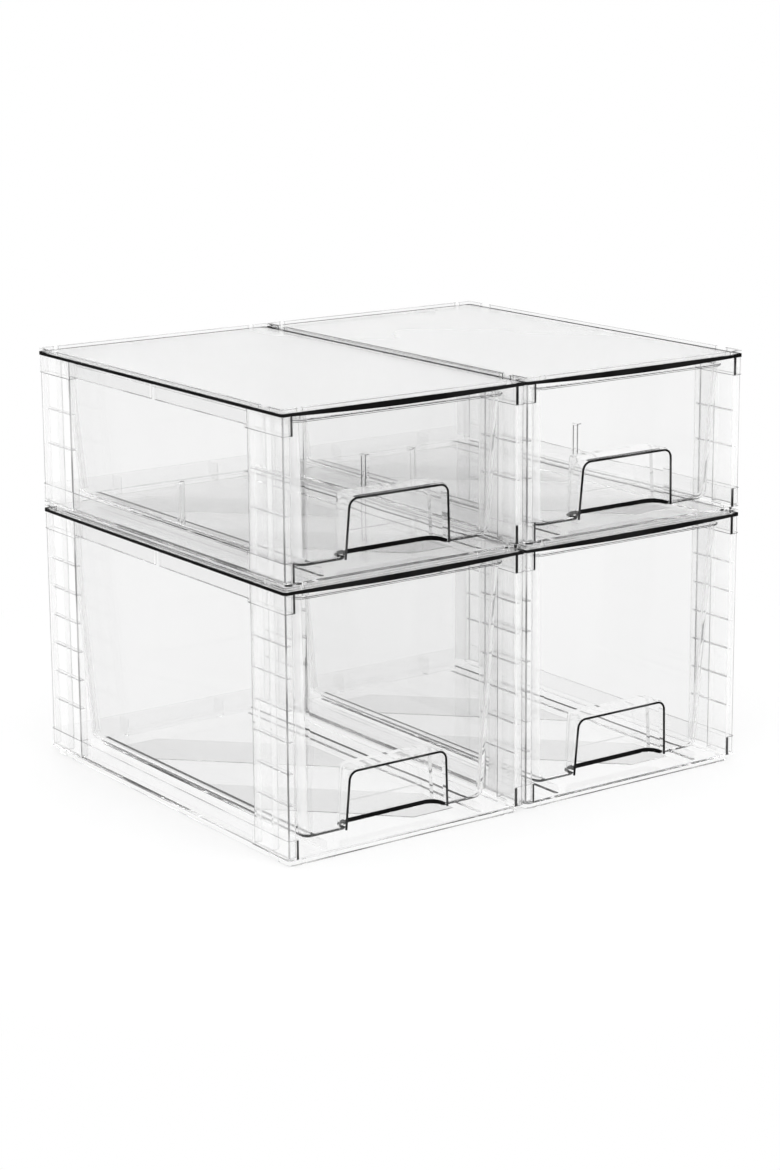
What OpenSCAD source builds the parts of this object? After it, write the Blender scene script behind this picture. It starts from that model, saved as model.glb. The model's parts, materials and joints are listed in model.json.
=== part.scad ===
// Stackable drawer boxes: two low units standing on two tall ones, side by side.
// Each unit is an open case (top panel, four ladder posts, bottom panel) round
// a tapered drawer with a finger recess low in its front wall.
// Millimetres, +Z up. Origin: middle of the set, on the floor. Fronts face -Y.

/* [Units] */
// Outside width of one unit
unit_w = 220; // [190:1:300]
// Outside depth of one unit, front to back
unit_d = 360; // [300:1:420]
// Height of a tall unit, from foot to rim
lower_h = 212; // [150:1:300]
// Height of a low unit, from foot to rim
upper_h = 133; // [115:1:220]
// Air between neighbouring units
side_gap = 0.6; // [0.4:0.1:3]
// Radius of a unit's upright corners
corner_r = 3; // [2.5:0.5:6]

/* [Stacking rim and foot] */
// Height of the rim round the top panel
rim_h = 3; // [2:0.5:4]
// Thickness of that rim
rim_t = 2.4; // [1.6:0.2:3]
// Air between a foot and the rim it drops into
nest_gap = 0.5; // [0.3:0.1:1]
// Height of the foot below the case walls
foot_h = 5.5; // [4.5:0.5:8]
// Thickness of the foot's wall
foot_t = 2.2; // [1.6:0.2:3]
// Radius of the foot's corners
foot_r = 6; // [4:0.5:10]

/* [Panels] */
// Thickness of the top plate inside its rim
plate_t = 2.5; // [2:0.1:4]
// Thickness of the bottom deck
deck_t = 2.5; // [2:0.1:3]
// Depth of the side skirts below the rim top
skirt_h = 17.5; // [12:0.5:20]
// Thickness of the skirts and the bottom rails
skirt_t = 2; // [1.6:0.1:3]
// Width of the gap halfway along each skirt
skirt_gap = 6; // [3:0.5:12]
// Height of the bottom rails above the foot
rail_h = 15; // [10:0.5:16]
// Width of the ledge inside each bottom rail
ledge_w = 8; // [5:0.5:9]
// Width of the clip slots in the front and back rims
slot_w = 3.5; // [2:0.5:6]
// Length of the clip slots in the side rims
slot_l = 11; // [6:0.5:16]
// Distance of each clip slot from its corner
slot_at = 14; // [12:0.5:20]

/* [Deck ribs] */
// Width of each diagonal stiffening band
band_w = 56.5; // [30:0.5:80]
// How far the bands stand below the deck
band_t = 0.8; // [0.4:0.1:1.5]
// Bands end this far from the sides
band_side = 44; // [36:1:60]
// Bands end this far from the front and back
band_end = 33; // [25:1:60]

/* [Posts] */
// Post size along the depth
post_l = 47.2; // [36:0.1:60]
// Post size across the width
post_w = 6.8; // [5.6:0.1:9]
// Thickness of the post walls
post_t = 1.6; // [1.2:0.1:2]
// Thickness of the ribs between them
rib_t = 1.4; // [1:0.1:2]
// Rib spacing in the tall units
lower_pitch = 24.1; // [16:0.1:40]
// Rib spacing in the low units
upper_pitch = 29; // [16:0.1:40]
// Wall of the sockets that hold the posts
socket_t = 1.2; // [1:0.1:2]
// Air round a post in its socket
socket_fit = 0.1; // [0.05:0.05:0.3]
// How far a top socket reaches below the rim top
cap_h = 20; // [18:0.5:26]
// Height of a bottom socket above the foot
base_h = 15.7; // [14:0.5:22]

/* [Drawers] */
// Gap between the unit's side and the drawer wall, at the top
drawer_side = 16; // [14:0.5:24]
// Setback of the drawer front, at the top
drawer_front = 8; // [6:0.5:14]
// Setback of the drawer back, at the top
drawer_back = 9; // [7:0.5:20]
// Space between the drawer top and the unit's rim top
drawer_drop = 10.4; // [8:0.2:16]
// Inward slope of a tall drawer's sides, top to bottom
lower_taper = 8.5; // [3:0.5:10]
// Inward slope of a low drawer's sides, top to bottom
upper_taper = 5; // [2:0.5:8]
// Forward lean of a tall drawer's front
lower_lean = 8.5; // [3:0.5:10]
// Forward lean of a low drawer's front
upper_lean = 5.5; // [2:0.5:8]
// Backward lean of the drawer backs
back_lean = 11; // [4:0.5:14]
// Thickness of the drawer walls
wall_t = 2; // [1.5:0.1:3]
// Radius along the drawer's bottom edges
tub_r = 7; // [4:0.5:9]
// How far the drawer's top edge turns outward
lip_w = 2.5; // [1:0.1:4]
// Thickness of that turned edge
lip_t = 1.6; // [1.2:0.1:3]

/* [Finger recess] */
// Width of the recess at the drawer's bottom
grip_w = 94.6; // [70:0.1:110]
// Width of the recess at its top
grip_top_w = 90; // [60:0.1:108]
// Height of the recess
grip_h = 47; // [30:0.5:55]
// Distance of its back wall behind the unit's front
grip_back = 33; // [28:0.5:40]
// Radius of its upper corners
grip_r = 7; // [4:0.5:12]
// Radius of its back corners, seen from above
grip_corner = 10; // [4:0.5:13]
// Thickness of the walls round the recess
grip_t = 1.8; // [1.4:0.1:3]
// Height of the bead across its back wall
bead_at = 17; // [10:0.5:24]

/* [Divider guides] */
// Width of each guide, halfway along the low drawers
guide_w = 8; // [6:0.5:14]
// Width of the groove down its middle
groove_w = 3; // [1.5:0.1:4]
// Height of the guides above the drawer floor
guide_h = 36; // [20:1:60]
// How far a guide stands off the wall at the floor
guide_t = 2.4; // [1.5:0.1:5]

/* [Runners] */
// Height of the runners the drawer slides on
runner_h = 6; // [4:0.5:8]
// Width of each runner
runner_w = 4; // [3:0.5:6]
// Distance of each runner from the unit's side
runner_at = 36; // [34:0.5:46]
// Distance of each drawer stop from the unit's side
stop_at = 62; // [50:1:90]

/* [Hidden] */
$fn = 48;
eps = 0.01;
edge_h = rim_h + plate_t;                    // full edge of the top panel
foot_in = rim_t + nest_gap;                  // foot inside the case walls
post_in = socket_t + socket_fit;             // post inside the case walls
socket_w = post_w + 2 * post_in;
socket_l = post_l + 2 * post_in;
floor_t = 1.5;                               // plate under each post
post_z = foot_h + floor_t;
stack_z = lower_h - rim_h;                   // floor of the upper units
tub_z = foot_h + runner_h;                   // underside of the drawers
tub_floor = 2.2;
mouth_lean = atan2((grip_w - grip_top_w) / 2, grip_h - grip_r + 1);
clear = [0.90, 0.91, 0.92];
clear_cool = [0.87, 0.89, 0.90];
clear_warm = [0.93, 0.93, 0.94];

// ---- helpers ----

// Box between two opposite corners
module box(a, b) translate(a) cube(b - a);

// Rectangle with rounded corners, from a to b
module round_rect(a, b, r) {
  translate([a[0] + r, a[1]]) square([b[0] - a[0] - 2 * r, b[1] - a[1]]);
  translate([a[0], a[1] + r]) square([b[0] - a[0], b[1] - a[1] - 2 * r]);
  for (x = [a[0] + r, b[0] - r], y = [a[1] + r, b[1] - r])
    translate([x, y]) circle(r);
}

// Slab with rounded upright corners, inset from the unit's outline
module slab(inset, r, z0, z1)
  translate([0, 0, z0]) linear_extrude(z1 - z0)
    round_rect([inset, inset], [unit_w - inset, unit_d - inset], r);

// The same form at the left and at the right of a unit
module both_sides() {
  children();
  translate([unit_w, 0, 0]) mirror([1, 0, 0]) children();
}

// The same form at the front and at the back of a unit
module both_ends() {
  children();
  translate([0, unit_d, 0]) mirror([0, 1, 0]) children();
}

module four_corners() both_ends() both_sides() children();

// Puts a unit in the set: column -1 is left and 1 is right
module unit_at(column, z)
  translate([column < 0 ? -unit_w - side_gap / 2 : side_gap / 2,
             -unit_d / 2, z])
    children();

// ---- case ----

// Post outline grown by g, seen from above in the front left corner
module post_outline(g)
  round_rect([post_in - g, post_in - g],
             [post_in + post_w + g, post_in + post_l + g], 1.4 + g);

// Sleeve round a post end, trimmed to the unit's rounded corner
module socket(z0, z1) intersection() {
  box([0, 0, z0], [socket_w, socket_l, z1]);
  slab(0, corner_r, z0 - 1, z1 + 1);
}

module post_pocket(z0, z1)
  translate([0, 0, z0]) linear_extrude(z1 - z0) post_outline(socket_fit);

// Slots in a rim or a deck edge for side-by-side clips
module clip_slots(depth, z0, z1) {
  four_corners() box([slot_at, -1, z0], [slot_at + slot_w, depth, z1]);
  four_corners() box([-1, slot_at + 5, z0], [depth, slot_at + 5 + slot_l, z1]);
}

module top_panel(h) difference() {
  union() {
    slab(0, corner_r, h - edge_h, h);
    four_corners() socket(h - cap_h, h - edge_h + eps);
    both_sides() box([0.5, socket_l - 1, h - skirt_h],
                     [0.5 + skirt_t, unit_d - socket_l + 1, h - edge_h + eps]);
  }
  slab(rim_t, max(corner_r - rim_t, 0.6), h - rim_h, h + 1);
  clip_slots(rim_t + eps, h - rim_h, h + 1);
  four_corners() post_pocket(h - cap_h - 1, h - edge_h);
  both_sides() box([-1, (unit_d - skirt_gap) / 2, h - skirt_h - 1],
                   [skirt_t + 2, (unit_d + skirt_gap) / 2, h - edge_h]);
}

// Parallel bands across the deck at 45 degrees
module deck_bands(z0, z1) intersection() {
  box([band_side, band_end, z0], [unit_w - band_side, unit_d - band_end, z1]);
  translate([unit_w / 2, unit_d / 2, 0]) rotate([0, 0, 45]) for (s = [-1, 1])
    box([s * band_w - band_w / 2, -unit_d, z0],
        [s * band_w + band_w / 2, unit_d, z1]);
}

// Wall with a ledge at its foot; it stands between two sockets
module side_rail() {
  y0 = socket_l - 1;
  y1 = unit_d - socket_l + 1;
  box([post_in, y0, foot_h - eps], [post_in + skirt_t, y1, foot_h + rail_h]);
  box([post_in, y0, foot_h - eps], [post_in + ledge_w, y1, foot_h + floor_t]);
}

module back_rail() {
  x0 = socket_w - 1;
  y1 = unit_d - post_in;
  box([x0, y1 - skirt_t, foot_h - eps], [unit_w - x0, y1, foot_h + rail_h]);
  box([x0, y1 - 5, foot_h - eps], [unit_w - x0, y1, foot_h + floor_t]);
}

// Setback of a drawer's back face from the unit's back, at the rail's top
function stop_y(h) = drawer_back + back_lean
  * (h - drawer_drop - foot_h - rail_h) / (h - drawer_drop - tub_z) - 0.2;

// Web on the back rail that the closed drawer meets
module back_stop(h)
  box([stop_at, unit_d - stop_y(h), foot_h - eps],
      [stop_at + skirt_t, unit_d - post_in - eps, foot_h + rail_h]);

// Round-ended strip that the drawer slides on
module runner() {
  x = runner_at + runner_w / 2;
  y0 = 9;
  y1 = unit_d - 24;
  box([runner_at, y0, foot_h - eps], [runner_at + runner_w, y1, tub_z]);
  for (y = [y0, y1])
    translate([x, y, foot_h - eps]) cylinder(d = runner_w, h = runner_h + eps);
}

module bottom_panel(h) {
  difference() {
    union() {
      slab(foot_in, foot_r, 0, foot_h);
      four_corners() socket(foot_h - eps, foot_h + base_h);
      both_sides() side_rail();
      back_rail();
      both_sides() runner();
      both_sides() back_stop(h);
    }
    slab(foot_in + foot_t, foot_r - foot_t, -1, foot_h - deck_t);
    four_corners() post_pocket(post_z, foot_h + base_h + 1);
    clip_slots(foot_in + 1.2, -1, foot_h - 1);
    // shallow step along the front and back of the foot
    both_ends() box([band_side, foot_in - 1, -1],
                    [unit_w - band_side, foot_in + 0.5, foot_h - 1]);
  }
  deck_bands(foot_h - deck_t - band_t, foot_h - deck_t + eps);
}

// Channel open towards the drawer, with a middle web and level ribs
module post(h, pitch) {
  z1 = h - edge_h;
  top = h - cap_h;
  count = floor((top - foot_h - base_h - 10) / pitch);
  mid = post_in + post_l / 2;
  translate([0, 0, post_z]) linear_extrude(z1 - post_z) difference() {
    post_outline(0);
    for (y = [post_in + post_t, mid + rib_t / 2])
      translate([post_in + post_t, y])
        square([post_w, post_l / 2 - post_t - rib_t / 2]);
  }
  for (k = [1:count])
    box([post_in + 0.8, post_in + 0.8, top - k * pitch - rib_t / 2],
        [post_in + post_w - 0.4, post_in + post_l - 0.8,
         top - k * pitch + rib_t / 2]);
}

// ---- drawer ----

// Outline of the tub at height z, t inside its outer face
module tub_section(z, t, h, taper, lean, r, shrink)
  translate([0, 0, z]) linear_extrude(eps) {
    k = (h - drawer_drop - z) / (h - drawer_drop - tub_z);
    s = t + shrink;
    round_rect([drawer_side + taper * k + s, drawer_front + lean * k + s],
               [unit_w - drawer_side - taper * k - s,
                unit_d - drawer_back - back_lean * k - s], r);
  }

// Solid with drafted walls and a rounded bottom edge
module tub(t, z0, z1, h, taper, lean) {
  r = max(tub_r - t, 1);
  hull() {
    for (a = [0, 22.5, 45, 67.5, 90])
      tub_section(z0 + r * (1 - cos(a)), t, h, taper, lean,
                  tub_r + 1 - r * (1 - sin(a)) / 2, r * (1 - sin(a)), $fn = 24);
    tub_section(z1 - eps, t, h, taper, lean, tub_r, 0, $fn = 24);
  }
}

// Mouth of the finger recess, grown by g, from its middle at the drawer's underside
function mouth_points(g) = let (c = grip_top_w / 2 - grip_r, r = grip_r + g)
  concat([[-grip_w / 2 - g, -1], [grip_w / 2 + g, -1]],
         [for (a = [0:15:90]) [c + r * cos(a), grip_h - grip_r + r * sin(a)]],
         [for (a = [90:15:180]) [-c + r * cos(a), grip_h - grip_r + r * sin(a)]]);

// What a back corner of radius r takes off the recess, seen from above
function corner_points(r) = concat([[1, -r], [1, 1], [-r, 1]],
  [for (a = [90:-15:0]) [r * cos(a) - r, r * sin(a) - r]]);

// Finger recess from y0 to its back wall, grown by g, with rounded back corners
module recess(y0, g) translate([unit_w / 2, 0, tub_z]) difference() {
  translate([0, grip_back + g, 0]) rotate([90, 0, 0])
    linear_extrude(grip_back + g - y0) polygon(mouth_points(g));
  for (side = [0, 1]) mirror([side, 0, 0])
    translate([grip_w / 2 + g, grip_back + g, -1]) rotate([0, -mouth_lean, 0])
      translate([0, 0, -3]) linear_extrude(grip_h + g + 6)
        polygon(corner_points(grip_corner + g));
}

// Upright guide for a divider, halfway along one side of a low drawer
module divider_guide() {
  z = tub_z + tub_floor - eps;
  x = drawer_side + wall_t - 1;
  y = unit_d / 2;
  difference() {
    box([x, y - guide_w / 2, z],
        [drawer_side + upper_taper + wall_t + guide_t, y + guide_w / 2,
         z + guide_h]);
    box([x, y - groove_w / 2, z - 1],
        [unit_w / 2, y + groove_w / 2, z + guide_h - 2]);
  }
}

module turned_edge(h) {
  z = h - drawer_drop;
  d = [lip_w, lip_w];
  a = [drawer_side, drawer_front];
  b = [unit_w - drawer_side, unit_d - drawer_back];
  w = [wall_t, wall_t];
  translate([0, 0, z - lip_t]) linear_extrude(lip_t) difference() {
    round_rect(a - d, b + d, tub_r + lip_w);
    round_rect(a + w, b - w, tub_r - 1);
  }
}

module drawer(h, taper, lean, guides) {
  top = h - drawer_drop;
  bead = grip_top_w / 2 - grip_corner;
  difference() {
    union() {
      difference() {
        tub(0, tub_z, top, h, taper, lean);
        tub(wall_t, tub_z + tub_floor, top + 1, h, taper, lean);
      }
      intersection() {
        tub(0.2, tub_z, top - 1, h, taper, lean);
        recess(0, grip_t);
      }
      turned_edge(h);
      if (guides) intersection() {
        tub(0.2, tub_z, top - 1, h, taper, lean);
        both_sides() divider_guide();
      }
    }
    recess(-1, 0);
  }
  // bead across the back of the recess
  box([unit_w / 2 - bead, grip_back - 0.8, tub_z + bead_at],
      [unit_w / 2 + bead, grip_back + 0.5, tub_z + bead_at + 1.2]);
}

// ---- the four units' pieces, named by place ----

module low_post(column, z, h, pitch, right, back) color(clear_cool)
  unit_at(column, z)
    translate([right ? unit_w : 0, back ? unit_d : 0, 0])
      mirror([right ? 1 : 0, 0, 0]) mirror([0, back ? 1 : 0, 0])
        post(h, pitch);

module lower_post(column, right, back)
  low_post(column, 0, lower_h, lower_pitch, right, back);
module upper_post(column, right, back)
  low_post(column, stack_z, upper_h, upper_pitch, right, back);

module lower_left_top_panel() color(clear) unit_at(-1, 0) top_panel(lower_h);
module lower_left_bottom_panel() color(clear) unit_at(-1, 0) bottom_panel(lower_h);
module lower_left_post_front_left() lower_post(-1, false, false);
module lower_left_post_front_right() lower_post(-1, true, false);
module lower_left_post_back_left() lower_post(-1, false, true);
module lower_left_post_back_right() lower_post(-1, true, true);
module lower_left_drawer() color(clear_warm)
  unit_at(-1, 0) drawer(lower_h, lower_taper, lower_lean, false);

module lower_right_top_panel() color(clear) unit_at(1, 0) top_panel(lower_h);
module lower_right_bottom_panel() color(clear) unit_at(1, 0) bottom_panel(lower_h);
module lower_right_post_front_left() lower_post(1, false, false);
module lower_right_post_front_right() lower_post(1, true, false);
module lower_right_post_back_left() lower_post(1, false, true);
module lower_right_post_back_right() lower_post(1, true, true);
module lower_right_drawer() color(clear_warm)
  unit_at(1, 0) drawer(lower_h, lower_taper, lower_lean, false);

module upper_left_top_panel() color(clear)
  unit_at(-1, stack_z) top_panel(upper_h);
module upper_left_bottom_panel() color(clear)
  unit_at(-1, stack_z) bottom_panel(upper_h);
module upper_left_post_front_left() upper_post(-1, false, false);
module upper_left_post_front_right() upper_post(-1, true, false);
module upper_left_post_back_left() upper_post(-1, false, true);
module upper_left_post_back_right() upper_post(-1, true, true);
module upper_left_drawer() color(clear_warm)
  unit_at(-1, stack_z) drawer(upper_h, upper_taper, upper_lean, true);

module upper_right_top_panel() color(clear)
  unit_at(1, stack_z) top_panel(upper_h);
module upper_right_bottom_panel() color(clear)
  unit_at(1, stack_z) bottom_panel(upper_h);
module upper_right_post_front_left() upper_post(1, false, false);
module upper_right_post_front_right() upper_post(1, true, false);
module upper_right_post_back_left() upper_post(1, false, true);
module upper_right_post_back_right() upper_post(1, true, true);
module upper_right_drawer() color(clear_warm)
  unit_at(1, stack_z) drawer(upper_h, upper_taper, upper_lean, true);

lower_left_top_panel();
lower_left_bottom_panel();
lower_left_post_front_left();
lower_left_post_front_right();
lower_left_post_back_left();
lower_left_post_back_right();
lower_left_drawer();
lower_right_top_panel();
lower_right_bottom_panel();
lower_right_post_front_left();
lower_right_post_front_right();
lower_right_post_back_left();
lower_right_post_back_right();
lower_right_drawer();
upper_left_top_panel();
upper_left_bottom_panel();
upper_left_post_front_left();
upper_left_post_front_right();
upper_left_post_back_left();
upper_left_post_back_right();
upper_left_drawer();
upper_right_top_panel();
upper_right_bottom_panel();
upper_right_post_front_left();
upper_right_post_front_right();
upper_right_post_back_left();
upper_right_post_back_right();
upper_right_drawer();
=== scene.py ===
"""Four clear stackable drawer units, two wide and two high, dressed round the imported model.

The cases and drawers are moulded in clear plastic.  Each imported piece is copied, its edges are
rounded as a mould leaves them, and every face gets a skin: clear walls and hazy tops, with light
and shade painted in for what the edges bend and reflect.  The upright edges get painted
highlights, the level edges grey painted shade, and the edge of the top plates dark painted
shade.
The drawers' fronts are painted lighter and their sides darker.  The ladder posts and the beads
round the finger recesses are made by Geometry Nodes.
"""
import json
import logging
import math
from dataclasses import dataclass
from enum import Enum
from typing import ClassVar, Iterable, Sequence

import bmesh
import bpy
from mathutils import Matrix, Vector

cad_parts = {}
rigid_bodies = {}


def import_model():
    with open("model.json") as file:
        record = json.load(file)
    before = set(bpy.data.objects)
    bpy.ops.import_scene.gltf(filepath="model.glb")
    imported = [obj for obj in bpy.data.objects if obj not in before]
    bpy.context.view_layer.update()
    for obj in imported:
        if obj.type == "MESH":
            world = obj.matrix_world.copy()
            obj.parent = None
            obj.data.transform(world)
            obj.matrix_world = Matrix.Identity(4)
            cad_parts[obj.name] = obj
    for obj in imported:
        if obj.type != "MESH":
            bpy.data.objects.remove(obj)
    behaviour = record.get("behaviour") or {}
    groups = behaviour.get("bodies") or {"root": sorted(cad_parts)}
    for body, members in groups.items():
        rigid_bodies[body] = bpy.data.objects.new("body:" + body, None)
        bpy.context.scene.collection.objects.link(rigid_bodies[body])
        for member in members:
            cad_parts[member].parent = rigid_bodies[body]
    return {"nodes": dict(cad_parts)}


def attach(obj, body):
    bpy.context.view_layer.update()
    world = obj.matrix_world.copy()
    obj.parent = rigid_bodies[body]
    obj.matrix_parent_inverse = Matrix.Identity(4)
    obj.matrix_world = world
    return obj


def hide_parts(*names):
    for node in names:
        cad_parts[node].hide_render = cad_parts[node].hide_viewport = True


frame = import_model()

logging.basicConfig(level=logging.INFO, format="%(name)s: %(message)s")
log = logging.getLogger("drawer_set")

Colour = tuple[float, float, float, float]
Point = tuple[float, float]
Cut = tuple[int, float]
Mesh, Piece = bpy.types.Mesh, bpy.types.Object
Tree, Node, Socket = bpy.types.NodeTree, bpy.types.Node, bpy.types.NodeSocket

MM = 0.001
X_AXIS, Z_AXIS = 0, 2

# Shares of a unit normal.  A face that looks straight along an axis has more than FACING of it,
# an upright face or edge has less than STEEP or EDGE_STEEP of z, a face that still looks
# forward has more than SLANT of -y, and a rounded corner has more than ROUND of both x and y.
FACING, STEEP, EDGE_STEEP, SLANT, ROUND = 0.9, 0.5, 0.35, 0.15, 0.12
# How far a flat face may lie off its plane, and the middle of a rounded edge off its corner.
SLACK, EDGE_REACH = 0.1 * MM, 0.6 * MM
# Mesh work: doubles are closer than WELD, a cut takes points within TOUCH, faces are joined
# below the angle COPLANAR and shaded smooth below SMOOTH, and a corner normal whose cosine to
# its face is under ODD_NORMAL is set right.
WELD, TOUCH = 2e-6, 1e-6
COPLANAR, SMOOTH = math.radians(0.5), math.radians(28)
ODD_NORMAL = 0.8


def grey(value: float) -> Colour:
    """A neutral colour of one value."""
    return (value, value, value, 1.0)


# ------------------------ Names and sizes shared by every piece ------------------------

class Level(Enum):
    """Height in the stack, with the sizes that differ between the levels, in metres.

    The values are the first word of the piece names, the case's height, the height of its foot
    above the floor, the distance between the ribs of the posts, and how far the drawer's front
    leans back from its top to its floor.
    """

    LOWER = ("lower", 212 * MM, 0.0, 24.1 * MM, 8.5 * MM)
    UPPER = ("upper", 133 * MM, 209 * MM, 29.0 * MM, 5.5 * MM)

    def __init__(self, word: str, height: float, foot: float, pitch: float,
                 lean: float) -> None:
        """Gives each of the values its name."""
        self.word, self.height, self.foot = word, height, foot
        self.pitch, self.lean = pitch, lean


class Column(Enum):
    """Side of the set: second word of the piece names, and the x of the unit's left wall."""

    LEFT = ("left", -220.3 * MM)
    RIGHT = ("right", 0.3 * MM)

    def __init__(self, word: str, x: float) -> None:
        """Gives both values their names."""
        self.word, self.x = word, x


class Corner(Enum):
    """Corner of a case: is it at the back, and is it at the right."""

    FRONT_LEFT = (False, False)
    FRONT_RIGHT = (False, True)
    BACK_LEFT = (True, False)
    BACK_RIGHT = (True, True)


class Skin(Enum):
    """The kinds of surface that one moulded piece can show."""

    BODY = "body"
    UPRIGHT = "upright"
    LEVEL = "level"
    FACE = "face"
    PLATE_EDGE = "plate_edge"
    WEB = "web"
    RIB_EDGE = "rib_edge"
    GUIDE = "guide"
    OUTER = "outer"
    FRONT = "front"
    SKIRT = "skirt"
    BAND = "band"
    DECK = "deck"
    LIP = "lip"
    RIM = "rim"
    SEAM = "seam"
    SOCKET = "socket"
    SEAT = "seat"
    FOOT = "foot"
    INNER = "inner"
    CORNER = "corner"
    SIDE = "side"
    RECESS = "recess"
    ARCH = "arch"
    GROUND = "ground"
    RECESS_FOOT = "recess_foot"
    TUB_EDGE = "tub_edge"


@dataclass(frozen=True)
class UnitSizes:
    """Sizes that all the cases share, in metres."""

    width: float = 220 * MM
    depth: float = 360 * MM
    front: float = -180 * MM
    rim_h: float = 3 * MM
    plate_t: float = 2.5 * MM
    cap_h: float = 20 * MM
    foot_h: float = 5.5 * MM
    deck_t: float = 2.5 * MM
    band_t: float = 0.8 * MM
    base_h: float = 15.7 * MM
    socket_w: float = 9.4 * MM
    socket_l: float = 49.9 * MM
    socket_line: float = 2.2 * MM
    foot_end: float = 44 * MM
    drawer_drop: float = 10.4 * MM
    drawer_floor: float = 11.5 * MM
    drawer_front: float = 8 * MM

    @property
    def edge_h(self) -> float:
        """Full edge of the top plate with its rim."""
        return self.rim_h + self.plate_t

    @property
    def middle(self) -> float:
        """Middle of the unit's width."""
        return self.width / 2


SIZES = UnitSizes()


@dataclass(frozen=True)
class Place:
    """One unit's place in the set, which gives names, bodies and the move to its own axes."""

    level: Level
    column: Column

    @property
    def words(self) -> str:
        """First words of the unit's node names."""
        return f"{self.level.word}_{self.column.word}"

    @property
    def origin(self) -> Vector:
        """The unit's front left foot corner in the set's axes."""
        return Vector((self.column.x, SIZES.front, self.level.foot))

    @property
    def case_body(self) -> str:
        """Body that the case pieces ride on."""
        return "base" if self.level is Level.LOWER else f"{self.words}_case"

    @property
    def drawer_body(self) -> str:
        """Body that the drawer rides on."""
        return f"{self.words}_drawer_body"

    def at_seam(self, x: float) -> bool:
        """Tells whether an x in the unit's own axes is on the side of its neighbour."""
        return x > SIZES.middle if self.column is Column.LEFT else x < SIZES.middle


@dataclass(frozen=True)
class Facet:
    """One face of a piece, in its unit's own axes."""

    centre: Vector
    normal: Vector
    low: float
    high: float

    @classmethod
    def of(cls, mesh: Mesh, face: bpy.types.MeshPolygon, origin: Vector) -> "Facet":
        """Reads a face of a mesh, for the unit at an origin."""
        heights = [mesh.vertices[i].co.z - origin.z for i in face.vertices]
        return cls(face.center - origin, face.normal, min(heights), max(heights))

    @property
    def across(self) -> float:
        """Distance to the plane of the nearer side."""
        return min(self.centre.x, SIZES.width - self.centre.x)

    @property
    def along(self) -> float:
        """Distance to the plane of the front or of the back, whichever is nearer."""
        return min(self.centre.y, SIZES.depth - self.centre.y)

    @property
    def off_middle(self) -> float:
        """How far right of the unit's middle the face is."""
        return self.centre.x - SIZES.middle

    @property
    def is_corner(self) -> bool:
        """Tells whether the face belongs to a rounded upright corner."""
        return (min(abs(self.normal.x), abs(self.normal.y)) > ROUND
                and abs(self.normal.z) < STEEP)

    def within(self, low: float, high: float) -> bool:
        """Tells whether the whole face lies between two heights."""
        return self.low > low - SLACK and self.high < high + SLACK


# ------------------------ Helpers for objects and node trees ------------------------

def put_in_scene(name: str, data: bpy.types.ID) -> Piece:
    """Makes an object round some data and links it to the scene.

    Args:
        name: the object's name.
        data: its mesh, camera or light.

    Returns:
        The object.
    """
    item = bpy.data.objects.new(name, data)
    bpy.context.scene.collection.objects.link(item)
    return item


def modified(mesh: Mesh, kind: str, inputs: dict[str, object] | None = None,
             **settings: object) -> Mesh:
    """Runs one modifier on a mesh and takes the plain result.

    Args:
        mesh: the mesh, which is used up.
        kind: the modifier's type.
        inputs: values of its node tree's inputs, by identifier.
        **settings: the modifier's properties.

    Returns:
        The new mesh.
    """
    work = put_in_scene("work", mesh)
    step = work.modifiers.new("step", kind)
    for name, value in settings.items():
        setattr(step, name, value)
    for identifier, value in (inputs or {}).items():
        step[identifier] = value
    graph = bpy.context.evaluated_depsgraph_get()
    result = bpy.data.meshes.new_from_object(work.evaluated_get(graph), depsgraph=graph)
    bpy.data.objects.remove(work)
    bpy.data.meshes.remove(mesh)
    return result


def feed(tree: Tree, slot: Socket, value: object) -> None:
    """Links a socket to an input, or sets the input to a plain value.

    Args:
        tree: the tree of both.
        slot: the input.
        value: a socket or a plain value.
    """
    if isinstance(value, Socket):
        tree.links.new(value, slot)
    else:
        slot.default_value = value


def add_node(tree: Tree, kind: str, inputs: dict[str | int, object] | None = None,
             **settings: object) -> Node:
    """Adds a node, sets its properties and feeds its inputs.

    Args:
        tree: the tree that gets the node.
        kind: the node's type name.
        inputs: sockets or plain values for its inputs, by name or number.
        **settings: properties of the node.

    Returns:
        The new node.
    """
    node = tree.nodes.new(kind)
    for name, value in settings.items():
        setattr(node, name, value)
    for slot, value in (inputs or {}).items():
        feed(tree, node.inputs[slot], value)
    return node


def arithmetic(tree: Tree, operation: str, first: object, second: object,
               clamp: bool = False) -> Socket:
    """Adds a Math node.

    Args:
        tree: the tree that gets the node.
        operation: the Math node's operation.
        first: socket or number for its first input.
        second: socket or number for its second input.
        clamp: whether the result is held to 0..1.

    Returns:
        The node's output socket.
    """
    return add_node(tree, "ShaderNodeMath", {0: first, 1: second}, operation=operation,
                    use_clamp=clamp).outputs[0]


def eased(tree: Tree, value: Socket, limits: tuple[object, object],
          results: tuple[float, float] = (0.0, 1.0)) -> Socket:
    """Adds a Map Range node that goes softly from one result to another.

    Args:
        tree: the tree that gets the node.
        value: the socket that is mapped.
        limits: sockets or numbers between which the result changes.
        results: what comes out at the two limits.

    Returns:
        The node's output socket.
    """
    return add_node(tree, "ShaderNodeMapRange", {
        "Value": value, "From Min": limits[0], "From Max": limits[1],
        "To Min": results[0], "To Max": results[1],
    }, interpolation_type="SMOOTHSTEP").outputs["Result"]


def mixed(tree: Tree, share: Socket, first: Node, second: Node) -> Node:
    """Adds a Mix Shader node between the first outputs of two nodes."""
    return add_node(tree, "ShaderNodeMixShader",
                    {0: share, 1: first.outputs[0], 2: second.outputs[0]})


def bent_ray(tree: Tree, rays: Node) -> Socket:
    """One on rays that come off a gloss or through clear plastic."""
    return arithmetic(tree, "MAXIMUM", rays.outputs["Is Glossy Ray"],
                      rays.outputs["Is Transmission Ray"])


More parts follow.
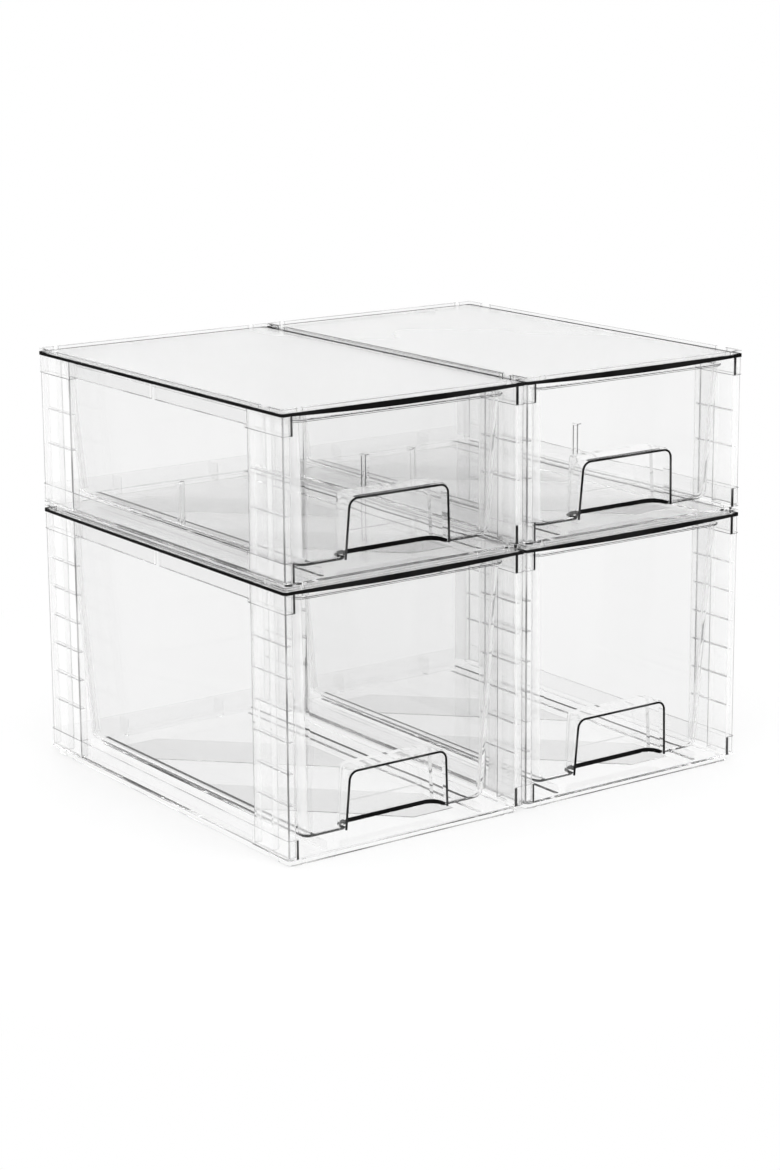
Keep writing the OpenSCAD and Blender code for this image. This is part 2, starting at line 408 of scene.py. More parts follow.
def tree_socket(tree: Tree, name: str, direction: str, kind: str, value: object = None) -> str:
    """Adds a socket to a group's interface.

    Args:
        tree: the group.
        name: the socket's name.
        direction: INPUT or OUTPUT.
        kind: the socket's kind, such as Float.
        value: the default of an input.

    Returns:
        The socket's identifier.
    """
    item = tree.interface.new_socket(name=name, in_out=direction,
                                     socket_type=f"NodeSocket{kind}")
    if value is not None:
        item.default_value = value
    return item.identifier


# ------------------------ Shader groups that the finishes share ------------------------

class CloudGroup:
    """Shader group whose colour goes softly from one tone to another in a cloudy noise.

    The first three inputs are the two tones and the noise's scale.  Each kind of group adds
    its own inputs and says between which noise values the tones change.
    """

    name: ClassVar[str]
    detail: ClassVar[float]
    inputs: ClassVar[dict[str, object]]

    def limits(self, tree: Tree, source: Node) -> tuple[object, object]:
        """Gives the noise values between which the tones change.

        Args:
            tree: the group.
            source: its Group Input node.

        Returns:
            The two values or sockets.
        """
        raise NotImplementedError

    def outputs(self, tree: Tree, source: Node, share: Socket) -> dict[str, Socket]:
        """Gives what the group puts out besides its colour, if anything.

        Args:
            tree: the group.
            source: its Group Input node.
            share: share of the second tone.

        Returns:
            The further outputs, numbers by name.
        """
        return {}

    def build(self) -> Tree:
        """Makes the group once and hands it out after that.

        Returns:
            The shader group, with the output Colour and its further outputs.
        """
        if self.name in bpy.data.node_groups:
            return bpy.data.node_groups[self.name]
        tree = bpy.data.node_groups.new(self.name, "ShaderNodeTree")
        for label, value in self.inputs.items():
            kind = "Float" if isinstance(value, float) else "Color"
            tree_socket(tree, label, "INPUT", kind, value)
        tree_socket(tree, "Colour", "OUTPUT", "Color")
        source = add_node(tree, "NodeGroupInput")
        place = add_node(tree, "ShaderNodeTexCoord")
        cloud = add_node(tree, "ShaderNodeTexNoise", {
            "Vector": place.outputs["Object"], "Scale": source.outputs[2],
            "Detail": self.detail})
        share = eased(tree, cloud.outputs["Fac"], self.limits(tree, source))
        # The numbers are those of the Mix node's factor, colours and colour result.
        tone = add_node(tree, "ShaderNodeMix", data_type="RGBA")
        for slot, value in ((0, share), (6, source.outputs[0]), (7, source.outputs[1])):
            feed(tree, tone.inputs[slot], value)
        further = self.outputs(tree, source, share)
        for label in further:
            tree_socket(tree, label, "OUTPUT", "Float")
        add_node(tree, "NodeGroupOutput", {"Colour": tone.outputs[2], **further})
        return tree


class ToneGroup(CloudGroup):
    """Shader group of the clear plastic's uneven tone and handling haze."""

    name = "moulded_tone"
    detail = 2.0
    span: ClassVar[tuple[float, float]] = (0.35, 0.68)
    inputs = {"Tint": grey(0.97), "Deep Tint": grey(0.95), "Cloud Scale": 14.0,
              "Roughness": 0.0, "Handling": 0.02}

    def limits(self, tree: Tree, source: Node) -> tuple[object, object]:
        """Gives the broad middle of the noise."""
        return self.span

    def outputs(self, tree: Tree, source: Node, share: Socket) -> dict[str, Socket]:
        """Gives the roughness, which handling raises where the tone is deep."""
        smear = arithmetic(tree, "MULTIPLY", share, source.outputs["Handling"])
        return {"Roughness": arithmetic(tree, "ADD", source.outputs["Roughness"], smear)}


class PaintedLineGroup(CloudGroup):
    """Shader group that breaks a rounded edge's painted highlight or painted shade along its
    length, as a real highlight breaks.
    """

    name = "edge_painted_line"
    detail = 1.0
    inputs = {"Light": grey(0.9), "Dark": grey(0.3), "Scale": 22.0, "Balance": 0.5}
    softness: ClassVar[float] = 0.12

    def limits(self, tree: Tree, source: Node) -> tuple[object, object]:
        """Gives a narrow span round the group's balance."""
        return tuple(arithmetic(tree, way, source.outputs["Balance"], self.softness)
                     for way in ("SUBTRACT", "ADD"))


# ------------------------ Finishes ------------------------

@dataclass(frozen=True)
class Finish:
    """Moulded plastic that lets the lamps' light through: its clarity, index and polish."""

    name: str
    clarity: float = 1.0
    roughness: float = 0.0
    shadow_tint: float = 0.93
    ior: float = 1.05
    gloss: float = 0.5
    specular: float = 0.5
    preview: ClassVar[float] = 0.85

    def colour(self, tree: Tree, shader: Node) -> None:
        """Feeds the shader's colour and roughness.  Each kind of finish has its own way.

        Args:
            tree: the material's tree.
            shader: its Principled shader.
        """
        raise NotImplementedError

    def build(self) -> bpy.types.Material:
        """Makes the material once and hands it out after that.

        Returns:
            The material.
        """
        if self.name in bpy.data.materials:
            return bpy.data.materials[self.name]
        material = bpy.data.materials.new(self.name)
        material.use_nodes = True
        material.diffuse_color = grey(self.preview)
        tree = material.node_tree
        shader = tree.nodes["Principled BSDF"]
        self.colour(tree, shader)
        shader.inputs["Transmission Weight"].default_value = self.clarity
        shader.inputs["IOR"].default_value = self.ior
        shader.inputs["Coat Weight"].default_value = self.gloss
        shader.inputs["Specular IOR Level"].default_value = self.specular
        rays = add_node(tree, "ShaderNodeLightPath")
        open_way = add_node(tree, "ShaderNodeBsdfTransparent", {"Color": grey(self.shadow_tint)})
        surface = mixed(tree, rays.outputs["Is Shadow Ray"], shader, open_way)
        feed(tree, tree.nodes["Material Output"].inputs["Surface"], surface.outputs[0])
        return material


@dataclass(frozen=True)
class ClearFinish(Finish):
    """Clear moulded wall, with two close tints and the haze that handling leaves.

    The walls are thin, so what is behind them is hardly bent: the plastic itself has a low
    index, and a clear coat over it gives the gloss.
    """

    tint: float = 1.0
    deep: float = 0.985
    handling: float = 0.015
    cloud_scale: float = 14.0

    def colour(self, tree: Tree, shader: Node) -> None:
        """Feeds the shader from the tone group.

        Args:
            tree: the material's tree.
            shader: its Principled shader.
        """
        tone = add_node(tree, "ShaderNodeGroup", {
            "Tint": grey(self.tint), "Deep Tint": grey(self.deep),
            "Cloud Scale": self.cloud_scale, "Roughness": self.roughness,
            "Handling": self.handling}, node_tree=ToneGroup().build())
        feed(tree, shader.inputs["Base Color"], tone.outputs["Colour"])
        feed(tree, shader.inputs["Roughness"], tone.outputs["Roughness"])


@dataclass(frozen=True)
class PaintedEdgeFinish(Finish):
    """A rounded edge of the clear plastic, whose colour paints the bright or dark line that it
    shows: a painted highlight or painted shade for the light that the edge bends and reflects.
    """

    clarity: float = 0.8
    roughness: float = 0.08
    shadow_tint: float = 0.85
    ior: float = 1.1
    gloss: float = 0.0
    light: float = 0.9
    dark: float = 0.3
    scale: float = 22.0
    balance: float = 0.5

    def colour(self, tree: Tree, shader: Node) -> None:
        """Feeds the shader from the line group.

        Args:
            tree: the material's tree.
            shader: its Principled shader.
        """
        line = add_node(tree, "ShaderNodeGroup", {
            "Light": grey(self.light), "Dark": grey(self.dark), "Scale": self.scale,
            "Balance": self.balance}, node_tree=PaintedLineGroup().build())
        feed(tree, shader.inputs["Base Color"], line.outputs["Colour"])
        shader.inputs["Roughness"].default_value = self.roughness


CASE_WALL = ClearFinish("case_clear", tint=0.96, deep=0.95)
CASE_DECK = ClearFinish("case_deck_clear", tint=0.975, deep=0.965, clarity=0.95, gloss=0.3)
CASE_BAND = ClearFinish("deck_band_grey", tint=0.66, deep=0.64, clarity=0.98, gloss=0.3)
CASE_SKIRT = ClearFinish("case_skirt_clear", tint=0.93, deep=0.92, gloss=0.4)
TOP_FACE = ClearFinish("top_haze", tint=0.93, deep=0.92, clarity=0.60, roughness=0.20,
                       cloud_scale=5.0, ior=1.4, gloss=0.0)
POST_WALL = ClearFinish("post_clear", handling=0.01, clarity=0.8, ior=1.04)
# The ribs' faces get grey and pale tones in a fine noise: painted shade and painted highlight
# for the light that the ribs bend.
POST_RIB_PAINTED = ClearFinish("post_rib_painted_line", tint=0.95, deep=0.85, cloud_scale=60.0, clarity=0.8,
                       ior=1.08, gloss=0.0)
# Painted highlight: the rounded corners are partly milky white, so they read as the highlight
# that a curve catches.
CORNER_PAINTED_HIGHLIGHT = ClearFinish("rounded_corner_painted_highlight", deep=0.99, handling=0.0, clarity=0.7,
                           ior=1.01, gloss=0.3)
SOCKET_WALL = ClearFinish("socket_clear", clarity=0.97, gloss=0.4)
DRAWER_WALL = ClearFinish("drawer_clear", tint=0.965, deep=0.957, cloud_scale=6.0, ior=1.06)
# Lit and shaded copies of the drawer's plastic: the front is painted lighter and the side walls
# darker than the other walls.
DRAWER_FRONT_LIT = ClearFinish("drawer_front_painted_light", tint=0.980, deep=0.972, cloud_scale=6.0,
                           ior=1.06)
DRAWER_SIDE_SHADED = ClearFinish("drawer_side_painted_shade", tint=0.94, deep=0.932, cloud_scale=6.0,
                          ior=1.06)
RECESS_WALL = ClearFinish("recess_clear", deep=0.99, handling=0.0, clarity=0.93, ior=1.02)
# The edge finishes below are light and shade painted into the edges' colour. Bright lines are
# painted highlights, and grey and dark lines are painted shade, for the light that the rounded
# edges bend and reflect.
PAINTED_HIGHLIGHT_EDGE = PaintedEdgeFinish("edge_painted_highlight", light=1.0, dark=0.95, balance=0.62, clarity=0.3,
                         gloss=0.3)
# Grey painted shade on the arch of the finger recess.
ARCH_SHADE_LINE = PaintedEdgeFinish("recess_arch_painted_shade", light=0.84, dark=0.66, clarity=0.95)
# Dark painted contact shade along the foot where it meets the ground.
GROUND_CONTACT_SHADE = PaintedEdgeFinish("foot_ground_dark", light=0.50, dark=0.04, scale=16.0, clarity=0.4)
# Grey lines of painted shade on level, tub, rim, post-corner and rib edges. The inner edges keep
# only a pale painted line.
PAINTED_GREY_EDGE = PaintedEdgeFinish("edge_grey", light=0.62, dark=0.22)
INNER_EDGE = PaintedEdgeFinish("edge_inner_pale", light=1.0, dark=0.92, clarity=1.0)
TUB_EDGE = PaintedEdgeFinish("tub_edge_grey", light=0.92, dark=0.58, clarity=0.95)
RIM_SHADE_EDGE = PaintedEdgeFinish("rim_edge_painted_shade", light=0.65, dark=0.35)
POST_SHADE_LINE = PaintedEdgeFinish("post_line_painted_shade", light=0.48, dark=0.18, clarity=0.5)
RIB_EDGE = PaintedEdgeFinish("rib_edge_grey", light=0.50, dark=0.24, clarity=0.7)
# Dark painted shade on the seam, the drawers' top edges, guides and tub edges.
PAINTED_SHADE_EDGE = PaintedEdgeFinish("edge_dark", light=0.10, dark=0.02, balance=0.45, clarity=0.3,
                       specular=0.2)
# Dark painted shade on the inner uprights of the front sockets.
SOCKET_SHADE_LINE = PaintedEdgeFinish("socket_upright_dark", light=0.06, dark=0.01, scale=70.0, clarity=0.1,
                         specular=0.2)
# Dark painted shade on the foot of an upper case, where it sits on the case below.
FOOT_SHADE_LINE = PaintedEdgeFinish("foot_edge_dark", light=0.05, dark=0.01, scale=40.0, clarity=0.2,
                       specular=0.2)
# Near-black painted shade on the top plate's edge, on the front strip under it and on the foot
# of the finger recess.
PLATE_EDGE = PaintedEdgeFinish("plate_edge_dark", light=0.012, dark=0.006, clarity=0.0, specular=0.05,
                        roughness=0.3)
# Near-black painted shade round the mouth of the finger recess.
RECESS_BEAD_SHADE = PaintedEdgeFinish("recess_bead_painted_shade", light=0.07, dark=0.01, scale=30.0, balance=0.46,
                         clarity=0.2, specular=0.2)


# ------------------------ Mesh work that every moulded piece shares ------------------------

@dataclass(frozen=True)
class EdgeRounding:
    """The small radius that a mould leaves on every sharp outer edge.

    A narrow face gives its edges at most a share of its width.  An edge stays sharp where it
    meets a neighbour so nearly in line that the sine of their angle is under shallow.
    """

    width: float = 0.45 * MM
    angle: float = 30.0
    marker: int = 1
    share: float = 0.45
    shallow: float = 0.45

    def weigh(self, shape: bmesh.types.BMesh) -> None:
        """Gives each sharp outer edge its share of the width, less on narrow faces.

        Args:
            shape: the open mesh whose edges get their weights.
        """
        weight = shape.edges.layers.float.new("bevel_weight_edge")
        least = math.radians(self.angle)
        sharp = {edge for edge in shape.edges if len(edge.link_faces) == 2
                 and edge.is_convex and edge.calc_face_angle(0) > least}
        for edge in sharp:
            if any(self.slides(edge, vert, sharp) for vert in edge.verts):
                continue
            narrow = min(self.reach(face, edge) for face in edge.link_faces)
            edge[weight] = min(1.0, self.share * narrow / self.width)

    def slides(self, edge: bmesh.types.BMEdge, vert: bmesh.types.BMVert,
               sharp: set[bmesh.types.BMEdge]) -> bool:
        """Tells whether the rounding would slide far along a shallow neighbour at one end.

        Args:
            edge: the edge to be rounded.
            vert: one of its ends.
            sharp: all the edges that are rounded.

        Returns:
            True if an edge beside it leaves at a shallow angle.
        """
        way = (edge.other_vert(vert).co - vert.co).normalized()
        beside = {other for face in edge.link_faces for other in face.edges
                  if vert in other.verts} - sharp
        turns = ((other.other_vert(vert).co - vert.co).normalized() for other in beside)
        return any(way.cross(turn).length < self.shallow for turn in turns)

    @staticmethod
    def reach(face: bmesh.types.BMFace, edge: bmesh.types.BMEdge) -> float:
        """Measures how far a face reaches from one of its edges.

        Args:
            face: the face.
            edge: the edge.

        Returns:
            The greatest distance of its corners from the edge's line.
        """
        start = edge.verts[0].co
        way = (edge.verts[1].co - start).normalized()
        offsets = (vert.co - start for vert in face.verts)
        return max((offset - way * offset.dot(way)).length for offset in offsets)

    def applied(self, mesh: Mesh) -> Mesh:
        """Rounds the weighed edges of a mesh and marks the new faces.

        Args:
            mesh: closed mesh with all its faces in slot 0, which is used up.

        Returns:
            A new mesh, whose rounded edges are in the marker's slot.
        """
        shape = bmesh.new()
        shape.from_mesh(mesh)
        self.weigh(shape)
        shape.to_mesh(mesh)
        shape.free()
        for _ in range(self.marker + 1):
            mesh.materials.append(None)
        return modified(mesh, "BEVEL", width=self.width, segments=1, limit_method="WEIGHT",
                        material=self.marker, use_clamp_overlap=False)


ROUNDING = EdgeRounding()


def clean_copy(source: Mesh, cuts: Iterable[Cut] = (), crumb: float = 0.0) -> Mesh:
    """Copies a mesh with its doubles merged and its flat faces joined.

    Args:
        source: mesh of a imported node, or of a post.
        cuts: planes at which its faces are divided.
        crumb: edges shorter than this are closed up.

    Returns:
        The new mesh.
    """
    shape = bmesh.new()
    shape.from_mesh(source)
    bmesh.ops.remove_doubles(shape, verts=shape.verts, dist=WELD)
    if crumb > 0:
        bmesh.ops.dissolve_degenerate(shape, edges=shape.edges, dist=crumb)
    bmesh.ops.dissolve_limit(shape, angle_limit=COPLANAR, verts=shape.verts, edges=shape.edges,
                             use_dissolve_boundaries=False)
    for axis, place in cuts:
        way = Vector([float(k == axis) for k in range(3)])
        parts = list(shape.verts) + list(shape.edges) + list(shape.faces)
        bmesh.ops.bisect_plane(shape, geom=parts, dist=TOUCH, plane_co=way * place,
                               plane_no=way)
    for face in shape.faces:
        face.material_index = 0
    mesh = bpy.data.meshes.new("moulding")
    shape.to_mesh(mesh)
    shape.free()
    return mesh


def settled_normals(mesh: Mesh) -> Mesh:
    """Lets the broad flat faces rule the normals of the small faces round them.

    Args:
        mesh: a mesh with smooth faces and sharp edges, which is used up.

    Returns:
        A new mesh of the same name, with its corner normals set.
    """
    name = mesh.name
    result = modified(mesh, "WEIGHTED_NORMAL", keep_sharp=True, weight=100)
    result.name = name
    normals = [corner.vector.copy() for corner in result.corner_normals]
    for face in result.polygons:
        for index in face.loop_indices:
            if normals[index].dot(face.normal) < ODD_NORMAL:
                normals[index] = face.normal.copy()
    result.normals_split_custom_set(normals)
    return result


@dataclass
class Moulding:
    """One clear moulded piece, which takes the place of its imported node.

    Each kind of piece gives the last words of its node's name, its material slot, the length
    under which its edges are closed up, and the finish of each of its skins.
    """

    place: Place
    part: ClassVar[str]
    slot: ClassVar[str] = "clear_panel"
    crumb: ClassVar[float] = 0.0
    skins: ClassVar[dict[Skin, Finish]]

    @property
    def node(self) -> str:
        """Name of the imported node."""
        return f"{self.place.words}_{self.part}"

    @property
    def name(self) -> str:
        """Name of the dressed piece."""
        return f"{self.node}_moulding"

    @property
    def body(self) -> str:
        """Body that the piece rides on."""
        return self.place.case_body

    @property
    def cuts(self) -> list[Cut]:
        """Planes that divide the piece's faces where its skin changes."""
        return []

    def skin_of(self, facet: Facet) -> Skin:
        """Names the skin of a flat face.  Each kind of piece has its own rules.

        Args:
            facet: the face.

        Returns:
            The skin.
        """
        raise NotImplementedError

    def edge_skin_of(self, facet: Facet) -> Skin:
        """Names the skin of a rounded edge, which is upright or level."""
        return Skin.UPRIGHT if abs(facet.normal.z) < EDGE_STEEP else Skin.LEVEL

    def finish(self, mesh: Mesh) -> Piece:
        """Rounds a mesh, gives each face its skin and puts the piece in the set.

        Args:
            mesh: the piece's mesh in the set's axes, with sharp edges.

        Returns:
            The piece, riding on its body and standing for its node.
        """
        result = ROUNDING.applied(mesh)
        result.name = self.name
        skins, origin = list(self.skins), self.place.origin
        marked = [face.material_index == ROUNDING.marker for face in result.polygons]
        result.materials.clear()
        for finish in self.skins.values():
            result.materials.append(finish.build())
        for face, rounded in zip(result.polygons, marked):
            facet = Facet.of(result, face, origin)
            skin = self.edge_skin_of(facet) if rounded else self.skin_of(facet)
            face.material_index = skins.index(skin if skin in self.skins else Skin.BODY)
            face.use_smooth = True
        result.set_sharp_from_angle(angle=SMOOTH)
        piece = put_in_scene(self.name, settled_normals(result))
        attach(piece, self.body)
        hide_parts(self.node)
        log.info("%s: %d faces for %s", self.name, len(piece.data.polygons), self.node)
        return piece

    def make(self) -> Piece:
        """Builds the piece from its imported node."""
        return self.finish(clean_copy(frame["nodes"][self.node].data, self.cuts, self.crumb))


# ------------------------ Case pieces ------------------------

@dataclass
class Panel(Moulding):
    """What the top and the bottom panel share: a socket for a post at each corner."""

    line_depth: float = 1 * MM

    @property
    def socket_cuts(self) -> list[Cut]:
        """Planes that set off the inner upright of the two front sockets."""
        left, inner = self.place.origin.x, SIZES.socket_w - SIZES.socket_line
        return [(X_AXIS, left + inner), (X_AXIS, left + SIZES.width - inner)]

    def socket_skin(self, facet: Facet) -> Skin | None:
        """Finds the skin of a socket's face.

        Args:
            facet: a face at the sockets' height.

        Returns:
            The inner upright of a front socket, which gets painted shade, a socket's wall, or
            None elsewhere.
        """
        if (facet.normal.y < -FACING and facet.centre.y < self.line_depth
                and SIZES.socket_w - SIZES.socket_line < facet.across < SIZES.socket_w):
            return Skin.SOCKET
        in_socket = facet.across < SIZES.socket_w + SLACK and facet.along < SIZES.socket_l
        return Skin.SEAT if in_socket else None

    def edge_skin_of(self, facet: Facet) -> Skin:
        """Names the skin of an edge, with painted shade on the uprights in front."""
        skin = super().edge_skin_of(facet)
        return Skin.SOCKET if skin is Skin.UPRIGHT and facet.centre.y < EDGE_REACH else skin


@dataclass
class TopPanel(Panel):
    """Top plate with its rim, corner sockets and side skirts."""

    part = "top_panel"
    skins = {
        Skin.BODY: CASE_WALL, Skin.UPRIGHT: PAINTED_HIGHLIGHT_EDGE, Skin.LEVEL: PAINTED_GREY_EDGE,
        Skin.FACE: TOP_FACE, Skin.PLATE_EDGE: PLATE_EDGE, Skin.SKIRT: CASE_SKIRT,
        Skin.RIM: RIM_SHADE_EDGE, Skin.SEAM: PAINTED_SHADE_EDGE, Skin.SOCKET: SOCKET_SHADE_LINE,
        Skin.SEAT: SOCKET_WALL}
    rim_w: float = 3 * MM

    @property
    def cuts(self) -> list[Cut]:
        """Planes that part the plate's edge of painted shade from the rim, and the sockets'
        uprights.
        """
        top = self.place.level.foot + self.place.level.height
        return [(Z_AXIS, top - SIZES.rim_h), (Z_AXIS, top - SIZES.edge_h)] + self.socket_cuts

    @property
    def plate(self) -> tuple[float, float]:
        """Heights of the plate's underside and top in the unit's own axes."""
        top = self.place.level.height
        return top - SIZES.edge_h, top - SIZES.rim_h

    def skin_of(self, facet: Facet) -> Skin:
        """Parts the hazy plate, its edge of painted shade, the skirts and the clear rest.

        Args:
            facet: the face.

        Returns:
            The skin.
        """
        if abs(facet.normal.z) > FACING:
            on_plate = min(abs(facet.centre.z - height) for height in self.plate) < SLACK
            return Skin.FACE if on_plate and facet.across > self.rim_w else Skin.BODY
        if facet.within(*self.plate):
            return Skin.PLATE_EDGE
        if facet.centre.z >= self.plate[0]:
            return Skin.BODY
        rest = Skin.SKIRT if abs(facet.normal.x) > FACING else Skin.BODY
        return self.socket_skin(facet) or rest

    def edge_skin_of(self, facet: Facet) -> Skin:
        """Parts the plate edge and the seam, which get painted shade, the rim's paler painted
        line and the sockets' uprights.

        Args:
            facet: the face of the rounded edge.

        Returns:
            The skin.
        """
        under, rim = self.plate
        if under - EDGE_REACH < facet.centre.z < rim - SLACK:
            return Skin.PLATE_EDGE
        if facet.centre.z > rim:
            seam = self.place.at_seam(facet.centre.x) and facet.across < EDGE_REACH
            return Skin.SEAM if seam else Skin.RIM
        return super().edge_skin_of(facet)


@dataclass
class FrontShadeStrip:
    """Thin dark strip of painted shade under the front edge of the top plate, deepest in the
    middle, where that edge shows a dark band.
    """

    place: Place
    finish: Finish = PLATE_EDGE
    overlap: float = 0.2 * MM
    least: float = 0.3 * MM
    sag: float = 2.1 * MM
    depth: float = 2.0 * MM
    setback: float = 0.2 * MM
    steps: int = 24

    def outline(self) -> list[Point]:
        """Draws the strip from the front, between the two front sockets.

        Returns:
            The outline's x and z in the unit's own axes.
        """
        top = self.place.level.height - SIZES.edge_h + self.overlap
        start, length = SIZES.socket_w, SIZES.width - 2 * SIZES.socket_w
        upper, lower = [], []
        for k in range(self.steps + 1):
            share = k / self.steps
            drop = self.least + self.sag * math.sin(math.pi * share)
            upper.append((start + length * share, top))
            lower.append((start + length * share, top - drop))
        return upper + lower[::-1]

    def make(self) -> Piece:
        """Builds the strip of painted shade and lets it ride on the case.

        Returns:
            The strip.
        """
        outline = self.outline()
        count = len(outline)
        corners = [Vector((x, y, z)) + self.place.origin
                   for y in (self.setback, self.setback + self.depth) for x, z in outline]
        faces = [list(range(count))[::-1], list(range(count, 2 * count))]
        faces += [[k, (k + 1) % count, count + (k + 1) % count, count + k] for k in range(count)]
        mesh = bpy.data.meshes.new(f"{self.place.words}_front_lip")
        mesh.from_pydata(corners, [], faces)
        shape = bmesh.new()
        shape.from_mesh(mesh)
        bmesh.ops.recalc_face_normals(shape, faces=shape.faces)
        shape.to_mesh(mesh)
        shape.free()
        mesh.materials.append(self.finish.build())
        piece = put_in_scene(mesh.name, mesh)
        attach(piece, self.place.case_body)
        log.info("%s: %d faces", piece.name, len(mesh.polygons))
        return piece


@dataclass
class BottomPanel(Panel):
    """Deck with its foot, corner sockets, rails, runners and diagonal bands."""

    part = "bottom_panel"
    skins = {
        Skin.BODY: CASE_WALL, Skin.UPRIGHT: PAINTED_HIGHLIGHT_EDGE, Skin.LEVEL: PAINTED_GREY_EDGE,
        Skin.BAND: CASE_BAND, Skin.DECK: CASE_DECK, Skin.SOCKET: SOCKET_SHADE_LINE,
        Skin.FOOT: FOOT_SHADE_LINE, Skin.GROUND: GROUND_CONTACT_SHADE, Skin.INNER: INNER_EDGE,
        Skin.SEAM: TUB_EDGE, Skin.SEAT: SOCKET_WALL}
    front_depth: float = 6 * MM
    wall_depth: float = 4 * MM
    rail_step: float = 1 * MM

    @property
    def cuts(self) -> list[Cut]:
        """Planes that part the foot inside the rim below, and the sockets' uprights."""
        return [(Z_AXIS, self.place.level.foot + SIZES.rim_h)] + self.socket_cuts

    def skin_of(self, facet: Facet) -> Skin:
        """Parts the grey bands, the bright deck and the foot's line of painted shade from the
        clear walls.

        Args:
            facet: the face.

        Returns:
            The skin.
        """
        z, normal = facet.centre.z, facet.normal
        under = SIZES.foot_h - SIZES.deck_t
        if normal.z < -FACING and abs(z - (under - SIZES.band_t)) < SLACK:
            return Skin.BAND
        if abs(normal.z) > FACING and under - SLACK < z < SIZES.foot_h + SLACK:
            return Skin.DECK
        at_socket = self.socket_skin(facet) if z > SIZES.foot_h + SLACK else None
        stacked = self.place.level is Level.UPPER and facet.across < SIZES.foot_end
        in_front = normal.y < -STEEP and facet.centre.y < self.front_depth
        if at_socket is None and stacked and in_front and facet.within(SIZES.rim_h,
                                                                       SIZES.foot_h):
            return Skin.FOOT
        return at_socket or Skin.BODY

    def edge_skin_of(self, facet: Facet) -> Skin:
        """Parts the outer edges, the painted contact shade on the ground and the paler edges
        inside the case.

        Args:
            facet: the face of the rounded edge.

        Returns:
            The skin.
        """
        y, z = facet.centre.y, facet.centre.z
        if self.place.level is Level.LOWER and z < EDGE_REACH and y < self.front_depth:
            return Skin.GROUND
        if y > self.wall_depth and facet.across > self.wall_depth:
            return Skin.INNER
        skin = super().edge_skin_of(facet)
        rail = self.place.at_seam(facet.centre.x) and z > SIZES.foot_h + self.rail_step
        return Skin.SEAM if skin is Skin.LEVEL and rail else skin


class PieceTree:
    """Geometry Nodes tree that makes a piece out of a plain start.

    Each tree gives its name, the sizes that are its inputs, and the nodes of the shape.
    """

    name: ClassVar[str]
    sizes: ClassVar[dict[str, float | int]]

    def __init__(self) -> None:
        """Starts with no identifiers; build() fills them in."""
        self.ids: dict[str, str] = {}

    def shape(self, tree: Tree, source: Node) -> Socket:
        """Adds the nodes that make the shape.

        Args:
            tree: the tree that gets the nodes.
            source: its Group Input node.

        Returns:
            Socket of the shape.
        """
        raise NotImplementedError

    def build(self) -> Tree:
        """Makes the tree, which ends in Realize Instances and Set Material.

        Returns:
            The tree, whose input identifiers are in ids by name.
        """
        tree = bpy.data.node_groups.new(self.name, "GeometryNodeTree")
        tree.is_modifier = True
        tree_socket(tree, "Geometry", "INPUT", "Geometry")
        for label, value in self.sizes.items():
            kind = "Int" if isinstance(value, int) else "Float"
            self.ids[label] = tree_socket(tree, label, "INPUT", kind, value)
        self.ids["Material"] = tree_socket(tree, "Material", "INPUT", "Material")
        tree_socket(tree, "Geometry", "OUTPUT", "Geometry")
        source = add_node(tree, "NodeGroupInput")
        real = add_node(tree, "GeometryNodeRealizeInstances",
                        {"Geometry": self.shape(tree, source)})
        dress = add_node(tree, "GeometryNodeSetMaterial", {
            "Geometry": real.outputs["Geometry"], "Material": source.outputs["Material"]})
        add_node(tree, "NodeGroupOutput", {"Geometry": dress.outputs["Geometry"]})
        return tree

    def run(self, mesh: Mesh, values: dict[str, object]) -> Mesh:
        """Runs the tree on a mesh.

        Args:
            mesh: what the tree starts from, which is used up.
            values: the tree's inputs by name.

        Returns:
            The mesh that the tree makes.
        """
        tree = bpy.data.node_groups.get(self.name) or self.build()
        inputs = {self.ids[label]: value for label, value in values.items()}
        return modified(mesh, "NODES", inputs, node_group=tree)


